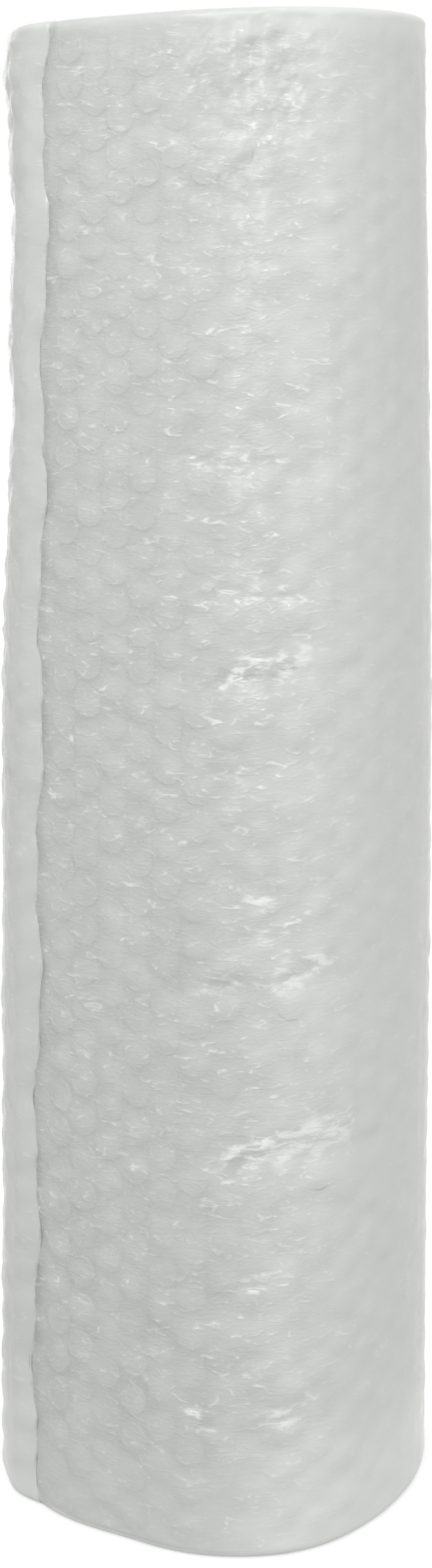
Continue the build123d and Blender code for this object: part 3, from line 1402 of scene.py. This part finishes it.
@dataclass
class Bubbles:
    """The air bubbles, open bowls as seen through the flat film, set out by one node tree."""

    lattice: Lattice
    name: str
    depth: float = 0.0021
    floor_gap: float = 0.0003
    steepness: float = 2.6
    fullness: float = 0.32
    size_spread: float = 0.09
    depth_spread: float = 0.4
    lean: float = 0.02
    weld: float = 0.00002
    least: float = 0.001
    seed: int = 5
    sides: int = 12
    rings: int = 3

    def seats(self, points: np.ndarray, outward: np.ndarray) -> bpy.types.Object:
        """An object with one point for each bubble, which knows which way is out.

        Args:
            points: the seats.
            outward: the way out of the roll at each.

        Returns:
            The linked object.
        """
        mesh = bpy.data.meshes.new(self.name)
        mesh.vertices.add(len(points))
        mesh.vertices.foreach_set("co", points.astype(np.float32).ravel())
        set_each(mesh, OUTWARD_VALUE, "FLOAT_VECTOR", outward)
        mesh.update()
        return put_in_scene(self.name, mesh)

    def inputs(self, tree: bpy.types.NodeTree) -> None:
        """Gives a tree its output and its named inputs, the bowl's sizes among them.

        Args:
            tree: the empty tree.
        """
        sizes = {
            "Bubble radius": self.lattice.radius,
            "Bubble depth": self.depth,
            "Floor gap": self.floor_gap,
            "Steepness": self.steepness,
            "Fullness": self.fullness,
            "Size spread": self.size_spread,
            "Depth spread": self.depth_spread,
            "Lean": self.lean,
        }
        counts = {"Sides": self.sides, "Rings": self.rings, "Seed": self.seed}
        new = tree.interface.new_socket
        new("Geometry", in_out="INPUT", socket_type="NodeSocketGeometry")
        for kind, values in (("NodeSocketFloat", sizes), ("NodeSocketInt", counts)):
            for label, value in values.items():
                new(label, in_out="INPUT", socket_type=kind).default_value = value
        new("Film", in_out="INPUT", socket_type="NodeSocketMaterial")
        new("Geometry", in_out="OUTPUT", socket_type="NodeSocketGeometry")

    def shaped(
        self, n: Nodes, shape: bpy.types.Node, open_side: str, flat: list[Socket], high: Socket
    ) -> Socket:
        """A cone or a can without one of its ends, moved point by point.

        Args:
            n: the tree's nodes.
            shape: the cone or the can.
            open_side: the end that is left out.
            flat: where each point goes, along X and Y.
            high: the height to which it goes.

        Returns:
            The mesh.
        """
        mesh, end = shape.outputs["Mesh"], shape.outputs[open_side]
        opened = n.add("GeometryNodeDeleteGeometry", domain="FACE", Geometry=mesh, Selection=end)
        place = n.add("ShaderNodeCombineXYZ", X=flat[0], Y=flat[1], Z=high).outputs[0]
        return n.add(
            "GeometryNodeSetPosition", Geometry=opened.outputs[0], Position=place
        ).outputs[0]

    def bowl(self, n: Nodes, given: bpy.types.NodeOutputs) -> Socket:
        """One bubble: a cone shaped into a bowl, welded into a can.

        Args:
            n: the tree's nodes.
            given: the tree's inputs.

        Returns:
            The bubble's mesh.
        """
        at = n.add("ShaderNodeSeparateXYZ", Vector=n.add("GeometryNodeInputPosition").outputs[0])
        *flat, z = at.outputs
        radius, depth = given["Bubble radius"], given["Bubble depth"]
        sides = {"Vertices": given["Sides"], "Depth": 1.0}

        can = n.add("GeometryNodeMeshCylinder", Radius=1.0, **sides)
        foot = n.math("ADD", depth, given["Floor gap"])
        high = n.math("MULTIPLY", n.math("SUBTRACT", z, 0.5), foot)
        wide = [n.math("MULTIPLY", axis, radius) for axis in flat]
        can_wall = self.shaped(n, can, "Top", wide, high)

        cone = n.add("GeometryNodeMeshCone", Radius_Top=0.0, Radius_Bottom=1.0, **sides)
        n.put(given["Rings"], cone.inputs["Side Segments"])
        near = n.math("MAXIMUM", n.math("SUBTRACT", 1.0, z), self.least)
        fuller = n.math("POWER", near, n.math("SUBTRACT", given["Fullness"], 1.0))
        sunk = n.math("SUBTRACT", n.math("POWER", near, given["Steepness"]), 1.0)
        spread = n.math("MULTIPLY", fuller, radius)
        wide = [n.math("MULTIPLY", axis, spread) for axis in flat]
        bowl_wall = self.shaped(n, cone, "Bottom", wide, n.math("MULTIPLY", sunk, depth))

        join = n.add("GeometryNodeJoinGeometry")
        for wall in (can_wall, bowl_wall):
            n.put(wall, join.inputs[0])
        whole = join.outputs[0]
        welded = n.add("GeometryNodeMergeByDistance", Geometry=whole, Distance=self.weld)
        return n.add("GeometryNodeSetShadeSmooth", Geometry=welded.outputs[0]).outputs[0]

    def chance(self, n: Nodes, given: bpy.types.NodeOutputs, spread: str, step: int) -> Socket:
        """A number for each bubble, at random from one less the spread to one.

        Args:
            n: the tree's nodes.
            given: the tree's inputs.
            spread: the input that gives the spread.
            step: what is added to the seed.

        Returns:
            The number.
        """
        seed = n.math("ADD", given["Seed"], step)
        node = n.add("FunctionNodeRandomValue", data_type="FLOAT", Seed=seed)
        n.put(n.math("SUBTRACT", 1.0, given[spread]), node.inputs[2])
        n.put(1.0, node.inputs[3])
        return node.outputs[1]

    def tree(self) -> bpy.types.NodeTree:
        """Builds the node tree, which sets a bubble on every seat, leaning a little at random.

        Returns:
            The tree, with named inputs for the bowl's sizes.
        """
        tree = bpy.data.node_groups.new("bubbles_on_seats", "GeometryNodeTree")
        self.inputs(tree)
        n = Nodes(tree)
        given = n.add("NodeGroupInput").outputs
        facing = n.add(
            "GeometryNodeInputNamedAttribute", data_type="FLOAT_VECTOR", Name=OUTWARD_VALUE
        ).outputs["Attribute"]
        turned = n.add("FunctionNodeAlignRotationToVector", axis="Z", Vector=facing)
        leans = {}
        for step, axis in enumerate("XY", start=2):
            centred = n.math("SUBTRACT", self.chance(n, given, "Lean", step), 1.0)
            leans[axis] = n.math("ADD", centred, n.math("MULTIPLY", given["Lean"], 0.5))
        tilted = n.add(
            "FunctionNodeRotateRotation",
            rotation_space="LOCAL",
            Rotation=turned.outputs[0],
            Rotate_By=n.add("ShaderNodeCombineXYZ", **leans).outputs[0],
        )
        wide = self.chance(n, given, "Size spread", 0)
        deep = self.chance(n, given, "Depth spread", 1)
        settled = n.add(
            "GeometryNodeInstanceOnPoints",
            Points=given["Geometry"],
            Instance=self.bowl(n, given),
            Rotation=tilted.outputs[0],
            Scale=n.add("ShaderNodeCombineXYZ", X=wide, Y=wide, Z=deep).outputs[0],
        )
        real = n.add("GeometryNodeRealizeInstances", Geometry=settled.outputs[0]).outputs[0]
        painted = n.add("GeometryNodeSetMaterial", Geometry=real, Material=given["Film"])
        n.add("NodeGroupOutput", Geometry=painted.outputs[0])
        return tree

    def build(
        self, points: np.ndarray, outward: np.ndarray, film: bpy.types.Material
    ) -> bpy.types.Object:
        """Sets a bubble on every seat and makes the result a plain mesh.

        Args:
            points: the seats.
            outward: the way out of the roll at each.
            film: the bubbles' finish.

        Returns:
            The piece.
        """
        made = self.seats(points, outward)
        tree = self.tree()
        modifier = made.modifiers.new("bubbles", "NODES")
        modifier.node_group = tree
        sockets = {
            item.name: item.identifier
            for item in tree.interface.items_tree
            if item.in_out == "INPUT"
        }
        modifier[sockets["Film"]] = film
        modifier[sockets["Bubble depth"]] = self.depth
        modifier[sockets["Seed"]] = self.seed
        bpy.context.view_layer.update()
        shown = made.evaluated_get(bpy.context.evaluated_depsgraph_get())
        mesh = bpy.data.meshes.new_from_object(shown)
        made.modifiers.remove(modifier)
        seats, made.data = made.data, mesh
        bpy.data.meshes.remove(seats)
        bpy.data.node_groups.remove(tree)
        mesh.name = self.name
        return made


@dataclass
class Roll:
    """The whole roll.

    edge_margin is the strip without bubbles beside the free edge. The outer bubbles lie deeper than
    the film by sink. Its slope is taken over a probe each way, and its relief at every rim_step
    round each bubble. The bubbles in the eye cover eye_share of the first turn, lie eye_sink inside
    its outer face and are shallower than the sheet by eye_clearance.
    """

    form: RollForm = field(default_factory=RollForm)
    lattice: Lattice = field(default_factory=Lattice)
    edge_margin: float = 0.005
    probe: float = 0.003
    rim_step: float = 45.0
    sink: float = 0.00045
    eye_share: float = 0.985
    eye_sink: float = 0.0004
    eye_clearance: float = 0.0008

    def build(self, finishes: Finishes) -> None:
        """Builds and dresses every piece.

        Args:
            finishes: the roll's materials.
        """
        relief = FilmRelief(self.form, self.lattice)
        dress(OuterTurn(self.form, relief).build(), finishes.clear, finishes.milky)
        wound = WoundTurns(self.form)
        dress(wound.build(), finishes.milky)
        for end in End:
            edges = TurnEdges(self.form, self.lattice, wound, end)
            dress(edges.flat_film(), finishes.bubble)
            dress(edges.bubble_edge(), finishes.bubble)
        self.outer_bubbles(relief, finishes.bubble)
        self.eye_bubbles(finishes.bubble)

    def outer_bubbles(self, relief: FilmRelief, film: bpy.types.Material) -> None:
        """The bubbles of the outermost turn, close under its film.

        Args:
            relief: the film's relief, which they stay clear of.
            film: their finish.
        """
        form, radius, probe = self.form, self.lattice.radius, self.probe
        along, up = self.lattice.centres(form.girth, form.width, self.edge_margin).T
        part, share = along / form.girth, up / form.width

        def at(part: np.ndarray, share: np.ndarray) -> np.ndarray:
            """Points on the outside."""
            return form.place(*form.outside(part, share), share * form.width)

        round_it = at(part + probe / form.girth, share) - at(part - probe / form.girth, share)
        upward = at(part, share + probe / form.width) - at(part, share - probe / form.width)
        outward = np.cross(round_it, upward)
        outward /= np.linalg.norm(outward, axis=1)[:, None]
        rim = np.radians(np.arange(0.0, WHOLE_TURN, self.rim_step))[:, None]
        reach = np.concatenate([[[0.0]], np.ones_like(rim)]) * radius
        rim = np.concatenate([[[0.0]], rim])
        lowest = relief.sample(
            part + reach * np.cos(rim) / form.girth, share + reach * np.sin(rim) / form.width
        ).min(axis=0)
        sink = self.sink - np.minimum(lowest, 0.0)
        bubbles = Bubbles(self.lattice, "outer_bubbles")
        dress(bubbles.build(at(part, share) - outward * sink[:, None], outward, film), film)

    def eye_bubbles(self, film: bpy.types.Material) -> None:
        """The bubbles of the innermost turn, which stand into the eye.

        Args:
            film: their finish.
        """
        form = self.form
        turn = 2.0 * math.pi * (form.eye_radius + form.thickness)
        along, up = self.lattice.centres(turn * self.eye_share, form.width).T
        angle, radius = form.outer_face(along / turn)
        points = form.place(angle, radius - self.eye_sink, up)
        outward = form.place(angle, np.ones(len(angle)), np.zeros(len(angle)))
        outward[:, 2] = 0.0
        outward /= np.linalg.norm(outward, axis=1)[:, None]
        bubbles = Bubbles(self.lattice, "eye_bubbles", form.thickness - self.eye_clearance)
        dress(bubbles.build(points, outward, film), film)


# The studio


@dataclass(frozen=True)
class Lamp:
    """A soft lamp: where it is, the point it shines at, its width and height, and its watts."""

    name: str
    place: Triple
    aim: Triple
    size: Pair
    watts: float

    def build(self) -> None:
        """Sets the lamp up."""
        data = bpy.data.lights.new(self.name, "AREA")
        data.shape, data.energy = "RECTANGLE", self.watts
        data.size, data.size_y = self.size
        made = put_in_scene(self.name, data)
        made.location = self.place
        x, y, z = np.array(self.aim) - np.array(self.place)
        tilt, heading = math.atan2(math.hypot(x, y), -z), math.atan2(y, x) - math.pi / 2.0
        made.rotation_euler = (tilt, 0.0, heading)


LAMPS = (
    Lamp("key_lamp", (0.16, -1.68, 0.68), (0.0, 0.0, 0.35), (0.2, 0.4), 2.0),
    Lamp("strip_lamp", (0.0, -1.6, 0.35), (0.0, 0.0, 0.25), (0.26, 1.5), 1.15),
    Lamp("top_lamp", (-0.12, -0.62, 0.92), (0.0, 0.0, 0.45), (0.6, 0.3), 2.5),
    Lamp("side_lamp", (1.5, -1.1, 0.7), (0.0, 0.0, 0.25), (0.9, 1.4), 0.8),
    Lamp("back_lamp", (-0.4, 1.7, 0.8), (0.0, 0.0, 0.25), (0.9, 1.4), 2.8),
    Lamp("low_lamp", (-0.75, -1.1, 0.12), (0.0, 0.0, 0.06), (0.6, 0.4), 0.5),
)


@dataclass(frozen=True)
class Studio:
    """The floor, the lamps, the world and the camera of the photograph."""

    image: tuple[int, int] = (669, 2429)
    focal_px: float = 3619.79
    middle_px: Pair = (334.11, 340.06)
    distance: float = 0.82216
    height: float = 0.42961
    sensor: float = 36.0
    far: float = 50.0
    lamps: tuple = LAMPS
    shown: float = 1.0
    ambient: float = 0.845
    floor_size: float = 12.0
    floor_tone: float = 0.92
    floor_glow: float = 1.4
    floor_lift: float = 0.4

    def camera(self) -> None:
        """A level camera in front of the roll, shifted down to take in its whole height."""
        width, height = self.image
        data = bpy.data.cameras.new("camera")
        data.sensor_fit = "VERTICAL"
        data.sensor_width = data.sensor_height = self.sensor
        data.lens = self.sensor * self.focal_px / height
        data.shift_x = (width / 2.0 - self.middle_px[0]) / height
        data.shift_y = (self.middle_px[1] - height / 2.0) / height
        data.clip_end = self.far
        made = put_in_scene("camera", data)
        made.location = (0.0, -self.distance, self.height)
        made.rotation_euler = (math.pi / 2.0, 0.0, 0.0)
        bpy.context.scene.camera = made

    def seen(self, n: Nodes) -> Socket:
        """One for camera, glossy and transmission rays, and zero for the rest.

        Args:
            n: the nodes to which it is added.

        Returns:
            The number.
        """
        rays = n.add("ShaderNodeLightPath").outputs
        total = rays["Is Camera Ray"]
        for name in ("Is Glossy Ray", "Is Transmission Ray"):
            total = n.math("MAXIMUM", total, rays[name])
        return total

    def world(self) -> None:
        """A white surround that lights the roll at a lower level than it shows."""
        world = bpy.data.worlds.new("studio")
        world.use_nodes = True
        n = Nodes(world.node_tree)
        white = (1.0, 1.0, 1.0, 1.0)
        lit, shown = (
            n.add("ShaderNodeBackground", Color=white, Strength=level).outputs[0]
            for level in (self.ambient, self.shown)
        )
        n.add("ShaderNodeOutputWorld", Surface=n.blend(self.seen(n), lit, shown))
        bpy.context.scene.world = world

    def floor(self) -> None:
        """A pale floor that looks white but keeps the roll's shadow."""
        half = self.floor_size / 2.0
        mesh = bpy.data.meshes.new("floor")
        corners = [(-half, -half, 0.0), (half, -half, 0.0), (half, half, 0.0), (-half, half, 0.0)]
        mesh.from_pydata(corners, [], [(0, 1, 2, 3)])
        made = put_in_scene("floor", mesh)
        n = FinishNodes("white_floor")
        matt = n.add("ShaderNodeBsdfDiffuse", Color=(*[self.floor_tone] * 3, 1.0))
        strength = n.math("MULTIPLY", self.seen(n), self.floor_glow)
        glow = n.add("ShaderNodeEmission", Strength=strength)
        lifted = n.blend(self.floor_lift, matt.outputs[0], glow.outputs[0])
        mesh.materials.append(n.finish(lifted))

    def build(self) -> None:
        """Sets the whole studio up."""
        self.camera()
        for lamp in self.lamps:
            lamp.build()
        self.world()
        self.floor()
        bpy.context.scene.view_settings.view_transform = "Standard"


def main() -> None:
    """Builds the roll and the studio."""
    logging.basicConfig(level=logging.INFO, format="%(message)s")
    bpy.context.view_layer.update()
    Studio().build()
    Roll().build(Finishes.build())
    bpy.context.view_layer.update()


if __name__ == "__main__":
    main()
